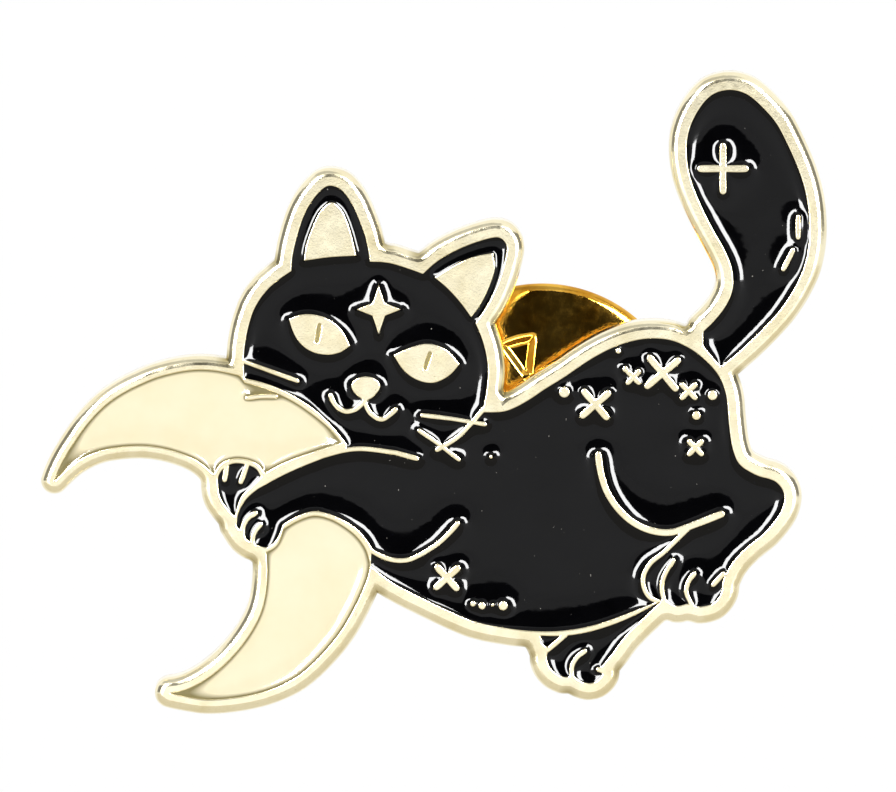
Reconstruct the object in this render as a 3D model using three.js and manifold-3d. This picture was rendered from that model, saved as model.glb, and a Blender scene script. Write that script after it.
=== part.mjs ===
// A soft-enamel lapel pin: a black cat that hugs a crescent moon, on a post with a butterfly clutch.
//
// Millimetres. The pin is drawn flat: x to the right, y up the artwork, z out of the face, with z = 0
// on the plate's flat back. The outermost group then stands it up, so that in the part's own frame
// +X is right, +Z is up and the post points along +Y. The origin is the middle of the plate's back.

import * as THREE from "three";
import { mergeVertices } from "three/addons/utils/BufferGeometryUtils.js";
import Module from "manifold-3d";

// The struck plate.
const PLATE_THICKNESS = 1.5;
const CAT_RIM = 0.7;
const MOON_UPPER_RIM = 0.53;
const MOON_LOWER_RIM = 0.6;
const POCKET_DEPTH = 0.5;
const LINE_WIDTH = 0.2;
const HIP_LINE_WIDTH = 0.28;
const WHISKER_WIDTH = 0.17;
const PUPIL_DEPTH = 0.12;
const PUPIL_WIDTH = 0.12;

// The enamel stops short of the metal's top, and clears the pocket it fills by a hair.
const ENAMEL_BELOW_METAL = 0.25;
const FILL_GAP = 0.02;

// The nail post stands in a shallow round seat on the back.
const POST_X = 4.3;
const POST_Y = -1.8;
const POST_RADIUS = 0.55;
const POST_LENGTH = 8;
const POST_BASE_RADIUS = 1.5;
const POST_BASE_THICKNESS = 0.4;
const SEAT_RADIUS = 1.8;
const SEAT_DEPTH = 0.15;

// The butterfly clutch. Its wings lie along a line turned by CLUTCH_TURN from the badge's x.
const CLUTCH_GAP = 2.1;
const CLUTCH_TURN = THREE.MathUtils.degToRad(45);
const DISC_RADIUS = 5.75;
const DISC_THICKNESS = 0.35;
const DISC_RIM_HEIGHT = 0.95;
const CLUTCH_HOLE_RADIUS = 0.8;
const COLLAR_RADIUS = 1.25;
const COLLAR_HEIGHT = 0.6;
const DIMPLE_COUNT = 6;
const DIMPLE_DEPTH = 0.14;
const BRIDGE_HALF_LENGTH = 1.9;
const BRIDGE_INNER_HALF_WIDTH = 2.1;
const BRIDGE_SHEET = 0.3;
const BRIDGE_TOP = 2.95;
const WING_SHEET = 0.3;
const WING_NECK_HALF_WIDTH = 1.95;
const WING_HALF_WIDTH = 2.7;
const WING_REACH = 5.6;
const JAW_CLEARANCE = 0.03;

// How closely straight facets follow the curves.
const SAMPLE_STEP = 0.05;
const FACET_TOLERANCE = 0.012;
const OUTLINE_GRID = 0.1;
const DISC_STEPS = 48;
const POST_STEPS = 20;
const BAND_END_STEPS = 4;
const DOT_STEPS = 10;

const wasm = await Module();
wasm.setup();

// ---------------------------------------------------------------- solids

function solidOf(geometry) {
  const bare = geometry.clone();
  bare.deleteAttribute("normal");
  bare.deleteAttribute("uv");
  const merged = mergeVertices(bare, 1e-4);
  const mesh = new wasm.Mesh({
    numProp: 3,
    vertProperties: new Float32Array(merged.attributes.position.array),
    triVerts: new Uint32Array(merged.index.array),
  });
  return new wasm.Manifold(mesh);
}

function geometryOf(solid) {
  const mesh = solid.getMesh();
  const geometry = new THREE.BufferGeometry();
  geometry.setAttribute("position", new THREE.BufferAttribute(mesh.vertProperties, 3));
  geometry.setIndex(new THREE.BufferAttribute(mesh.triVerts, 1));
  geometry.computeVertexNormals();
  return geometry;
}

const joined = (solids) => solids.reduce((sum, next) => sum.add(next));
const cutBy = (solid, cutters) => (cutters.length ? solid.subtract(joined(cutters)) : solid);

// A closed loop of points, pushed through from one height to another.
function prism(loop, low, high) {
  const depth = high - low;
  const geometry = new THREE.ExtrudeGeometry(new THREE.Shape(loop), { depth, bevelEnabled: false });
  return solidOf(geometry.translate(0, 0, low));
}

// A profile of [radius, height] pairs, turned about the z axis.
function turned(profile, steps) {
  const points = profile.map(([radius, height]) => new THREE.Vector2(radius, height));
  return new THREE.LatheGeometry(points, steps).rotateX(Math.PI / 2);
}

// ---------------------------------------------------------------- flat curves

const flat = (p) => new THREE.Vector2(p.x, p.y);

// Points so close together that a curve through the knots looks smooth.
function sampled(knots, closed = false) {
  const points = knots.map(([x, y]) => new THREE.Vector3(x, y, 0));
  const curve = new THREE.CatmullRomCurve3(points, closed, "centripetal");
  const count = Math.max(2, Math.ceil(curve.getLength() / SAMPLE_STEP));
  return curve.getPoints(count).map(flat);
}

function distanceToSegment(p, a, b) {
  const along = b.clone().sub(a);
  const t = THREE.MathUtils.clamp(p.clone().sub(a).dot(along) / along.lengthSq(), 0, 1);
  return p.distanceTo(along.multiplyScalar(t).add(a));
}

// Drops each point that lies within the facet tolerance of the line past it.
function thinned(points) {
  const [first, last] = [points[0], points[points.length - 1]];
  let worst = 0;
  let split = 0;
  for (let i = 1; i < points.length - 1; i++) {
    const off = distanceToSegment(points[i], first, last);
    if (off > worst) [worst, split] = [off, i];
  }
  if (worst < FACET_TOLERANCE) return [first, last];
  return [...thinned(points.slice(0, split + 1)).slice(0, -1), ...thinned(points.slice(split))];
}

// One closed loop from smooth runs that meet at corners: each run starts where the one before ended.
function loopOf(...runs) {
  const loop = runs.flatMap((run) => thinned(sampled(run)).slice(0, -1));
  return THREE.ShapeUtils.area(loop) < 0 ? loop.reverse() : loop;
}

// One closed loop with no corner at all.
function smoothLoop(knots) {
  const points = sampled(knots, true);
  const half = Math.floor(points.length / 2);
  const sides = [thinned(points.slice(0, half + 1)), thinned(points.slice(half))];
  const loop = sides.flatMap((side) => side.slice(0, -1));
  return THREE.ShapeUtils.area(loop) < 0 ? loop.reverse() : loop;
}

// A loop moved outwards by a small distance, or inwards by a negative one.
function movedOut(loop, distance) {
  return loop.map((p, i) => {
    const before = p.clone().sub(loop.at(i - 1)).normalize();
    const after = loop[(i + 1) % loop.length].clone().sub(p).normalize();
    const out = new THREE.Vector2(before.y + after.y, -before.x - after.x);
    return out.multiplyScalar(distance / (1 + before.dot(after))).add(p);
  });
}

// The loop round a line of some width, with half-round ends.
function bandLoop(line, halfWidth) {
  const direction = line.map((p, i) => {
    const next = line[Math.min(i + 1, line.length - 1)];
    return next.clone().sub(line[Math.max(i - 1, 0)]).normalize();
  });
  const side = (i, turn) => {
    const heading = direction[i].angle() + turn;
    return new THREE.Vector2(Math.cos(heading), Math.sin(heading)).multiplyScalar(halfWidth).add(line[i]);
  };
  const last = line.length - 1;
  const right = line.map((_, i) => side(i, -Math.PI / 2));
  const left = line.map((_, i) => side(last - i, Math.PI / 2));
  const capTurns = Array.from({ length: BAND_END_STEPS - 1 }, (_, k) => ((k + 1) * Math.PI) / BAND_END_STEPS);
  const cap = (i, start) => capTurns.map((turn) => side(i, start + turn));
  return [...right, ...cap(last, -Math.PI / 2), ...left, ...cap(0, Math.PI / 2)];
}

// Distance from a point to the nearest rim's outer edge, negative inside it. Each ring is a loop and
// the width of the rim round it.
function distanceToRims(p, rings) {
  let nearest = Infinity;
  for (const { loop, rim } of rings) {
    let gap = Infinity;
    let inside = false;
    for (let i = 0, j = loop.length - 1; i < loop.length; j = i++) {
      const [a, b] = [loop[j], loop[i]];
      const [dx, dy, px, py] = [b.x - a.x, b.y - a.y, p.x - a.x, p.y - a.y];
      const t = Math.min(1, Math.max(0, (px * dx + py * dy) / (dx * dx + dy * dy)));
      gap = Math.min(gap, (px - t * dx) ** 2 + (py - t * dy) ** 2);
      if (a.y > p.y !== b.y > p.y && px < (dx * py) / dy) inside = !inside;
    }
    nearest = Math.min(nearest, (inside ? -Math.sqrt(gap) : Math.sqrt(gap)) - rim);
  }
  return nearest;
}

// The one outline that runs round all the rims, found on a fine grid of triangles.
function outlineAround(rings) {
  const margin = Math.max(...rings.map((ring) => ring.rim)) + 2 * OUTLINE_GRID;
  const box = new THREE.Box2().setFromPoints(rings.flatMap((ring) => ring.loop)).expandByScalar(margin);
  const columns = Math.ceil((box.max.x - box.min.x) / OUTLINE_GRID) + 1;
  const rows = Math.ceil((box.max.y - box.min.y) / OUTLINE_GRID) + 1;
  const place = (id) =>
    new THREE.Vector2(id % columns, Math.floor(id / columns)).multiplyScalar(OUTLINE_GRID).add(box.min);
  const level = Array.from({ length: columns * rows }, (_, id) => distanceToRims(place(id), rings));
  const edgeKey = (a, b) => Math.min(a, b) * columns * rows + Math.max(a, b);
  const crossing = (a, b) => place(a).lerp(place(b), level[a] / (level[a] - level[b]));
  const steps = new Map();
  const visit = (ids) => {
    const inner = ids.map((id) => level[id] < 0);
    const lone = [0, 1, 2].find((k) => inner[k] !== inner[(k + 1) % 3] && inner[k] !== inner[(k + 2) % 3]);
    if (lone === undefined) return;
    const [a, b, c] = [ids[lone], ids[(lone + 1) % 3], ids[(lone + 2) % 3]];
    const [from, to] = inner[lone] ? [b, c] : [c, b];
    steps.set(edgeKey(a, from), { next: edgeKey(a, to), point: crossing(a, from) });
  };
  for (let row = 0; row < rows - 1; row++) {
    for (let column = 0; column < columns - 1; column++) {
      const corner = row * columns + column;
      visit([corner, corner + 1, corner + columns]);
      visit([corner + 1, corner + columns + 1, corner + columns]);
    }
  }
  const points = [];
  const start = steps.keys().next().value;
  let key = start;
  do {
    points.push(steps.get(key).point);
    key = steps.get(key).next;
  } while (key !== start);
  const half = Math.floor(points.length / 2);
  const sides = [points.slice(0, half + 1), [...points.slice(half), points[0]]];
  return sides.flatMap((side) => thinned(side).slice(0, -1));
}

// ---------------------------------------------------------------- the artwork: pockets in the metal

const catPocket = loopOf(
  // head's left side, left ear, crown, right ear, head's right side
  [[-7.4, 0.56], [-7.4, 1.67], [-7.05, 3.18], [-6.54, 3.98], [-6.02, 4.45], [-5.55, 4.77]],
  [[-5.55, 4.77], [-5.51, 5.33], [-5.31, 6.2], [-5, 7.08], [-4.57, 7.75], [-4.13, 8.11], [-3.7, 8.03],
    [-3.27, 7.56], [-2.91, 6.8], [-2.64, 6.04], [-2.48, 5.13]],
  [[-2.48, 5.13], [-1.77, 5.09], [-1.06, 4.89], [-0.39, 4.65]],
  [[-0.39, 4.65], [0.2, 5.17], [1.06, 5.65], [1.93, 5.97], [2.6, 6.08], [2.87, 5.81], [2.8, 5.17],
    [2.48, 4.18], [2.09, 3.38], [1.65, 2.74]],
  [[1.65, 2.74], [1.93, 2.07], [2.13, 1.19], [2.13, 0.48], [1.93, -0.8]],
  // back, rump, hind leg down to the toes
  [[1.93, -0.8], [2.83, -0.76], [3.62, -0.4], [4.41, 0.12], [5.24, 0.64], [5.98, 1.15], [6.89, 1.67],
    [7.76, 1.99], [8.54, 2.11], [9.37, 2.03], [10.16, 1.67], [10.71, 1.23], [11.22, 0.64], [11.5, -0.08],
    [11.61, -1.11], [11.77, -2.23], [12.05, -2.86], [12.76, -3.3], [13.46, -3.54], [13.78, -3.98],
    [13.7, -4.61], [13.03, -5.53], [12.32, -6.12], [11.73, -6.76], [11.38, -7.44]],
  [[11.38, -7.44], [11.3, -7.95], [10.98, -8.35], [10.51, -8.47]],
  [[10.51, -8.47], [10, -8.35]],
  [[10, -8.35], [9.57, -8.43], [9.21, -8.23], [8.98, -8.19]],
  // belly, back to the moon
  [[8.98, -8.19], [8.19, -8.51], [7.28, -8.87], [6.18, -9.23], [5, -9.42], [3.82, -9.42], [2.64, -9.27],
    [1.57, -9.03], [0.75, -8.67], [-0.12, -8.27], [-0.91, -7.87], [-1.69, -7.44], [-2.44, -6.84]],
  [[-2.44, -6.84], [-2.4, -6.12]],
  // under the near arm, its paw, and over the arm
  [[-2.4, -6.12], [-2.83, -5.53], [-3.43, -5.09], [-4.06, -4.81], [-4.72, -4.69], [-5.35, -4.89],
    [-5.91, -5.21]],
  [[-5.91, -5.21], [-6.06, -5.61], [-6.26, -5.93], [-6.57, -6.12], [-7.01, -6]],
  [[-7.01, -6], [-7.36, -5.77], [-7.72, -5.25]],
  [[-7.72, -5.25], [-7.64, -4.77], [-7.36, -4.26], [-6.93, -3.86], [-6.3, -3.5], [-5.59, -3.14],
    [-4.92, -2.86], [-4.21, -2.58], [-3.46, -2.39]],
  [[-3.46, -2.39], [-3.35, -2.07]],
  // cheek, along the moon
  [[-3.35, -2.07], [-3.9, -1.39], [-4.41, -0.87], [-4.92, -0.48], [-5.43, -0.16], [-5.98, 0.12],
    [-6.61, 0.36], [-7.4, 0.56]],
);

const tailPocket = loopOf(
  [[10.63, 2.39], [11.1, 2.86], [11.54, 3.46], [11.77, 4.06], [11.77, 4.77], [11.5, 5.53], [11.06, 6.32],
    [10.55, 7.32], [10.12, 8.43], [9.96, 9.5], [10.04, 10.26], [10.39, 11.06], [10.94, 11.69],
    [11.61, 11.89], [12.28, 11.73], [12.87, 11.25], [13.46, 10.58], [13.94, 9.66], [14.37, 8.67],
    [14.65, 7.68], [14.76, 6.64], [14.72, 5.73], [14.49, 4.77], [13.98, 3.78], [13.46, 3.06],
    [12.8, 2.39], [12.13, 1.71], [11.3, 1.03]],
  [[11.3, 1.03], [10.63, 1.83]],
  [[10.63, 1.83], [10.63, 2.39]],
);

const farPawPocket = loopOf(
  [[-8.43, -3.7], [-8.43, -3.34], [-8.23, -3.02], [-7.83, -2.82], [-7.36, -2.86], [-6.97, -3.02],
    [-6.77, -3.34]],
  [[-6.77, -3.34], [-7.13, -3.7], [-7.56, -4.14], [-7.8, -4.89]],
  [[-7.8, -4.89], [-8.11, -4.53], [-8.35, -4.14], [-8.43, -3.7]],
);

const farFootPocket = loopOf(
  [[4.25, -9.62], [5.2, -9.62], [6.18, -9.46], [7.17, -9.15], [8.07, -8.75], [8.94, -8.27]],
  [[8.94, -8.27], [8.15, -9.03], [7.52, -9.66], [7.05, -10.3], [6.57, -10.86]],
  [[6.57, -10.86], [6.65, -11.1], [6.42, -11.41], [6.1, -11.49], [5.75, -11.37], [5.51, -11.13]],
  [[5.51, -11.13], [5.24, -11.25], [4.84, -11.1], [4.57, -10.78], [4.49, -10.42], [4.57, -10.1]],
  [[4.57, -10.1], [4.33, -9.94], [4.25, -9.62]],
);

const upperMoonPocket = loopOf(
  [[-7.6, 0.64], [-8.54, 0.84], [-9.37, 0.87], [-10.12, 0.76], [-10.87, 0.56], [-11.54, 0.28],
    [-12.24, -0.08], [-12.91, -0.56], [-13.58, -1.27], [-14.17, -2.11], [-14.61, -2.86], [-14.88, -3.5]],
  [[-14.88, -3.5], [-14.29, -2.94], [-13.7, -2.55], [-12.99, -2.27], [-12.24, -2.15], [-11.46, -2.11],
    [-10.71, -2.19], [-9.96, -2.39], [-9.25, -2.7], [-8.62, -3.22]],
  [[-8.62, -3.22], [-8.35, -2.82], [-7.87, -2.62], [-7.28, -2.66], [-6.85, -2.86], [-6.61, -3.18]],
  [[-6.61, -3.18], [-5.79, -2.74], [-4.96, -2.43], [-4.25, -2.19], [-3.62, -1.99]],
  [[-3.62, -1.99], [-4.09, -1.43], [-4.57, -1.03], [-5.08, -0.64], [-5.59, -0.32], [-6.1, -0.08],
    [-6.69, 0.16], [-7.4, 0.36]],
  [[-7.4, 0.36], [-7.6, 0.64]],
);

const lowerMoonPocket = loopOf(
  [[-5.87, -5.41], [-5.31, -5.09], [-4.69, -4.89], [-4.06, -5.01], [-3.54, -5.29], [-3.03, -5.69],
    [-2.64, -6.24], [-2.48, -6.8]],
  [[-2.48, -6.8], [-2.6, -7.36], [-2.99, -8.27], [-3.58, -9.35], [-4.41, -10.38], [-5.39, -11.25],
    [-6.5, -11.77], [-7.72, -12.05], [-9.02, -12.13], [-10.35, -11.89]],
  [[-10.35, -11.89], [-9.76, -11.77], [-9.09, -11.45], [-8.39, -10.94], [-7.72, -10.26], [-7.13, -9.46],
    [-6.73, -8.63], [-6.54, -7.71], [-6.5, -6.92], [-6.54, -6.32]],
  [[-6.54, -6.32], [-6.18, -6.12], [-5.98, -5.77], [-5.87, -5.41]],
);

// ---------------------------------------------------------------- the artwork: metal left standing

const catLines = [
  { knots: [[-3.66, -2.31], [-2.83, -2.23], [-2.13, -2.31], [-1.46, -2.39], [-0.63, -2.62]] }, // arm, above
  { knots: [[-2.6, -6.16], [-2.01, -6.48], [-1.46, -6.64], [-0.91, -6.6], [-0.35, -6.32], [0.2, -5.97],
    [0.63, -5.57], [0.98, -5.17]] }, // arm, below
  { knots: [[2.01, -0.64], [1.54, -1.19], [0.94, -1.79], [0.16, -2.27]] }, // cheek
  { knots: [[6.5, -2.47], [6.61, -3.22], [6.85, -3.94], [7.36, -4.69], [7.99, -5.21], [8.7, -5.49],
    [9.37, -5.53], [10, -5.33], [10.63, -5.09], [11.34, -4.81]], width: HIP_LINE_WIDTH },
  { knots: [[10.04, -5.37], [9.57, -5.81], [9.02, -6.36], [8.54, -6.76], [8.27, -7.28], [8.31, -7.75],
    [8.54, -8.11], [8.98, -8.31]] }, // shin
  { knots: [[9.45, -6.64], [9.21, -7], [9.02, -7.48], [9.02, -7.91], [9.13, -8.39]] }, // hind toes
  { knots: [[10.28, -7.16], [10.04, -7.48], [9.96, -7.87], [10.08, -8.19], [10.24, -8.51]] },
  { knots: [[11.42, -7.16], [11.02, -7.6]] },
  { knots: [[-6.97, -4.77], [-7.28, -4.97], [-7.48, -5.37], [-7.44, -5.85]] }, // near paw's toes
  { knots: [[-6.77, -5.21], [-6.97, -5.45], [-7.09, -5.77], [-7.05, -6.16]] },
  { knots: [[-7.48, 1.23], [-6.5, 0.87], [-5.31, 0.44]], width: WHISKER_WIDTH },
  { knots: [[-0.43, -0.91], [0.87, -1.07], [2.05, -1.27]], width: WHISKER_WIDTH },
  { knots: [[-0.55, -1.51], [0.2, -2.03], [1.02, -2.66]], width: WHISKER_WIDTH },
  { knots: [[-2.64, -0.28], [-2.99, -0.64], [-3.43, -0.76], [-3.82, -0.52], [-4.02, -0.12]] }, // mouth
  { knots: [[-2.72, -0.24], [-2.48, -0.8], [-2.01, -1.07], [-1.46, -0.68]] },
];

const farPawLines = [
  { knots: [[-8.11, -2.9], [-8.19, -3.46]] },
  { knots: [[-7.28, -2.8], [-7.56, -3.54]] },
];

const farFootLines = [
  { knots: [[5.24, -9.55], [4.88, -9.86], [4.48, -10.2]] },
  { knots: [[5.98, -10.22], [5.67, -10.46], [5.47, -10.82], [5.47, -11.33]] },
  { knots: [[6.77, -11.06], [6.5, -10.94]] },
];

const moonLines = [{ knots: [[-7.32, -0.24], [-6.8, -0.17], [-6.15, -0.16]], width: WHISKER_WIDTH }];

const leftEar = loopOf(
  [[-5.08, 5.17], [-5, 5.77], [-4.72, 6.56], [-4.41, 7.16], [-3.98, 7.48], [-3.58, 7.2], [-3.27, 6.48],
    [-2.99, 5.37]],
  [[-2.99, 5.37], [-4.05, 5.31], [-5.08, 5.17]],
);
const rightEar = loopOf(
  [[0.04, 4.53], [1.06, 5.13], [1.73, 5.37], [2.36, 5.49]],
  [[2.36, 5.49], [2.44, 4.93], [2.17, 4.06], [1.85, 3.42], [1.5, 2.94]],
  [[1.5, 2.94], [1.06, 3.54], [0.55, 4.1], [0.04, 4.53]],
);
const leftEye = loopOf(
  [[-5.67, 2.9], [-5.2, 3.06], [-4.65, 3.06], [-4.06, 2.86], [-3.58, 2.47], [-3.23, 1.83]],
  [[-3.23, 1.83], [-3.66, 1.55], [-4.25, 1.47], [-4.92, 1.67], [-5.39, 2.15], [-5.67, 2.9]],
);
const rightEye = loopOf(
  [[-1.57, 1.47], [-0.94, 1.75], [-0.2, 1.91], [0.55, 1.67], [1.06, 1.11]],
  [[1.06, 1.11], [0.63, 0.64], [0, 0.36], [-0.63, 0.48], [-1.14, 0.84], [-1.57, 1.47]],
);
const nose = smoothLoop([
  [-3.22, 0.3], [-3.0, 0.54], [-2.64, 0.62], [-2.28, 0.54], [-2.06, 0.3], [-2.2, -0.04], [-2.64, -0.34],
  [-3.08, -0.04],
]);
const pupils = [[[-4.45, 2.65], [-4.56, 2.0]], [[-0.12, 1.53], [-0.31, 0.94]]];

// A four-pointed star with hollow sides.
function starLoop(x, y, halfWidth, halfHeight, waist) {
  const loop = Array.from({ length: 8 }, (_, k) => {
    const heading = (k * Math.PI) / 4;
    const [across, up] = k % 2 ? [waist, waist] : [halfWidth, halfHeight];
    return new THREE.Vector2(x + across * Math.cos(heading), y + up * Math.sin(heading));
  });
  return loop;
}
const foreheadStar = starLoop(-2.13, 3.26, 0.9, 1.0, 0.36);

// Sparkles are two short bars that cross. Each is [x, y, half length, turn in degrees].
const catSparkles = [
  [6.38, -0.48, 0.66, 41], [9.02, 0.75, 0.78, 40], [7.87, 0.6, 0.3, 45], [10.04, 0.04, 0.36, 45],
  [10.31, -2.19, 0.34, 45], [0.55, -7.32, 0.55, 42],
];
const tailSparkles = [[11.38, 8.8, 0.88, 90]];
const LARGE_BAR_WIDTH = 0.28;
const SMALL_BAR_WIDTH = 0.22;
const SMALL_BAR_LIMIT = 0.5;
const catDots = [
  [5.16, 0, 0.22], [7.28, 1.63, 0.12], [7.56, 0.91, 0.13], [10.98, -0.12, 0.2], [10.35, -0.92, 0.18],
  [1.57, -8.35, 0.12], [1.93, -8.43, 0.15], [2.76, -8.43, 0.19], [2.35, -8.4, 0.07],
  [2.28, -2.55, 0.08],
];
const tailDashes = [
  { knots: [[14.33, 6.9], [14.33, 6.1]] },
  { knots: [[14.13, 5.6], [13.75, 4.85]] },
];

const dotLoop = ([x, y, radius]) =>
  Array.from({ length: DOT_STEPS }, (_, k) => {
    const heading = (2 * Math.PI * k) / DOT_STEPS;
    return new THREE.Vector2(x + radius * Math.cos(heading), y + radius * Math.sin(heading));
  });
const sparkleBars = ([x, y, half, turn]) =>
  [turn, turn + 90].map((degrees) => {
    const heading = THREE.MathUtils.degToRad(degrees);
    const [dx, dy] = [half * Math.cos(heading), half * Math.sin(heading)];
    const width = half < SMALL_BAR_LIMIT ? SMALL_BAR_WIDTH : LARGE_BAR_WIDTH;
    return { knots: [[x - dx, y - dy], [x + dx, y + dy]], width };
  });

// Each pocket with the metal that stands inside it, and the names of the fills it is parted into,
// the largest first.
const BLACK = { color: 0x0b0b0d, roughness: 0.12, metalness: 0 };
const CREAM = { color: 0xf6ebc6, roughness: 0.15, metalness: 0 };
const pockets = [
  {
    loop: catPocket,
    lines: [...catLines, ...catSparkles.flatMap(sparkleBars)],
    islands: [leftEar, rightEar, leftEye, rightEye, nose, foreheadStar, ...catDots.map(dotLoop)],
    rim: CAT_RIM,
    fills: ["enamel_cat"],
    enamel: BLACK,
  },
  {
    loop: tailPocket,
    lines: [...tailDashes, ...tailSparkles.flatMap(sparkleBars)],
    islands: [],
    rim: CAT_RIM,
    fills: ["enamel_tail"],
    enamel: BLACK,
  },
  {
    loop: farPawPocket,
    lines: farPawLines,
    islands: [],
    rim: CAT_RIM,
    fills: ["enamel_far_paw"],
    enamel: BLACK,
  },
  {
    loop: farFootPocket,
    lines: farFootLines,
    islands: [],
    rim: CAT_RIM,
    fills: ["enamel_far_foot", "enamel_far_toe"],
    enamel: BLACK,
  },
  {
    loop: upperMoonPocket,
    lines: moonLines,
    islands: [],
    rim: MOON_UPPER_RIM,
    fills: ["enamel_moon_upper"],
    enamel: CREAM,
  },
  {
    loop: lowerMoonPocket,
    lines: [],
    islands: [],
    rim: MOON_LOWER_RIM,
    fills: ["enamel_moon_lower"],
    enamel: CREAM,
  },
];

// What fills a pocket between two heights, drawn in from the metal by a gap.
function pocketSolid(pocket, gap, low, high) {
  const lines = pocket.lines.map(({ knots, width = LINE_WIDTH }) =>
    bandLoop(thinned(sampled(knots)), width / 2 + gap),
  );
  const islands = pocket.islands.map((loop) => movedOut(loop, gap));
  const standing = [...lines, ...islands].map((loop) => prism(loop, low - 1, high + 1));
  return cutBy(prism(movedOut(pocket.loop, -gap), low, high), standing);
}

// ---------------------------------------------------------------- pieces

function piece(name, geometry, look) {
  const mesh = new THREE.Mesh(geometry, new THREE.MeshStandardMaterial(look));
  mesh.name = name;
  return mesh;
}

const LIGHT_GOLD = { color: 0xe9d9a6, roughness: 0.25, metalness: 1 };
const YELLOW_GOLD = { color: 0xd9a13c, roughness: 0.15, metalness: 1 };
const STEEL = { color: 0xc9c7c0, roughness: 0.3, metalness: 1 };
const SOLDER = { color: 0xb9b9b4, roughness: 0.45, metalness: 1 };

function badgePlate() {
  const floor = PLATE_THICKNESS - POCKET_DEPTH;
  const above = PLATE_THICKNESS + 1;
  const outline = outlineAround(pockets);
  const hollows = pockets.map((pocket) => pocketSolid(pocket, 0, floor, above));
  const slits = pupils.map((knots) => {
    const line = knots.map(([x, y]) => new THREE.Vector2(x, y));
    return prism(bandLoop(line, PUPIL_WIDTH / 2), PLATE_THICKNESS - PUPIL_DEPTH, above);
  });
  const seatProfile = [[0, -1], [SEAT_RADIUS, -1], [SEAT_RADIUS, SEAT_DEPTH], [0, SEAT_DEPTH]];
  const seat = solidOf(turned(seatProfile, POST_STEPS));
  const cutters = [...hollows, ...slits, seat.translate(POST_X, POST_Y, 0)];
  return piece("badge_plate", geometryOf(cutBy(prism(outline, 0, PLATE_THICKNESS), cutters)), LIGHT_GOLD);
}

function enamelFills(pocket) {
  const low = PLATE_THICKNESS - POCKET_DEPTH + FILL_GAP;
  const high = PLATE_THICKNESS - ENAMEL_BELOW_METAL;
  const parts = pocketSolid(pocket, FILL_GAP, low, high).decompose();
  parts.sort((a, b) => b.volume() - a.volume());
  return pocket.fills.map((name, i) => piece(name, geometryOf(parts[i]), pocket.enamel));
}

// The post, pointing down its own -z from the seat, with a grip groove and a rounded point.
function nailPost() {
  const top = SEAT_DEPTH - FILL_GAP;
  const base = top - POST_BASE_THICKNESS;
  const tip = -POST_LENGTH;
  const grooveTop = tip + 1.7;
  const grooveLength = 0.4;
  const grooveDepth = 0.12;
  const profile = [
    [0, tip], [0.14, tip + 0.04], [POST_RADIUS, tip + 1.0],
    [POST_RADIUS, grooveTop - grooveLength],
    [POST_RADIUS - grooveDepth, grooveTop - grooveLength + 0.1],
    [POST_RADIUS - grooveDepth, grooveTop - 0.1],
    [POST_RADIUS, grooveTop],
    [POST_RADIUS, base], [POST_BASE_RADIUS, base], [POST_BASE_RADIUS, top], [0, top],
  ];
  return piece("post", turned(profile, POST_STEPS), STEEL);
}

function solderJoint() {
  const inner = POST_BASE_RADIUS + FILL_GAP;
  const outer = SEAT_RADIUS - FILL_GAP;
  const top = SEAT_DEPTH - FILL_GAP;
  const profile = [
    [inner, -0.2], [inner + 0.08, -0.12], [outer, 0.02], [outer, top], [inner, top], [inner, -0.2],
  ];
  return piece("solder_joint", turned(profile, POST_STEPS), SOLDER);
}

// From here on the clutch's own frame: z = 0 on the disc's front, +z away from the plate, and x along
// the wings.

// A rounded triangle that points at the hole.
function dimpleLoop(turn) {
  const corners = [[2.2, 0], [2.95, -0.36], [3.65, -0.62], [3.75, 0], [3.65, 0.62], [2.95, 0.36]];
  return smoothLoop(corners).map((p) => p.rotateAround(new THREE.Vector2(), turn));
}

function clutchDisc() {
  const rimSheet = 0.3;
  const back = DISC_THICKNESS;
  const profile = [
    [CLUTCH_HOLE_RADIUS, 0], [DISC_RADIUS - 0.5, 0], [DISC_RADIUS - 0.15, 0.1], [DISC_RADIUS, 0.4],
    [DISC_RADIUS, DISC_RIM_HEIGHT], [DISC_RADIUS - rimSheet, DISC_RIM_HEIGHT],
    [DISC_RADIUS - rimSheet, back + 0.1], [DISC_RADIUS - 0.45, back],
    [COLLAR_RADIUS, back], [COLLAR_RADIUS, COLLAR_HEIGHT],
    [CLUTCH_HOLE_RADIUS, COLLAR_HEIGHT], [CLUTCH_HOLE_RADIUS, 0],
  ];
  const dimples = Array.from({ length: DIMPLE_COUNT }, (_, k) =>
    prism(dimpleLoop(((k + 0.5) * 2 * Math.PI) / DIMPLE_COUNT), -1, DIMPLE_DEPTH),
  );
  return piece("clutch_disc", geometryOf(cutBy(solidOf(turned(profile, DISC_STEPS)), dimples)), YELLOW_GOLD);
}

// A sheet bent along a line in the x-z plane, and as wide as twice the half width.
function bentSheet(knots, halfWidth) {
  const band = bandLoop(thinned(sampled(knots)), WING_SHEET / 2);
  return prism(band, -halfWidth, halfWidth).rotate([90, 0, 0]);
}

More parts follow.
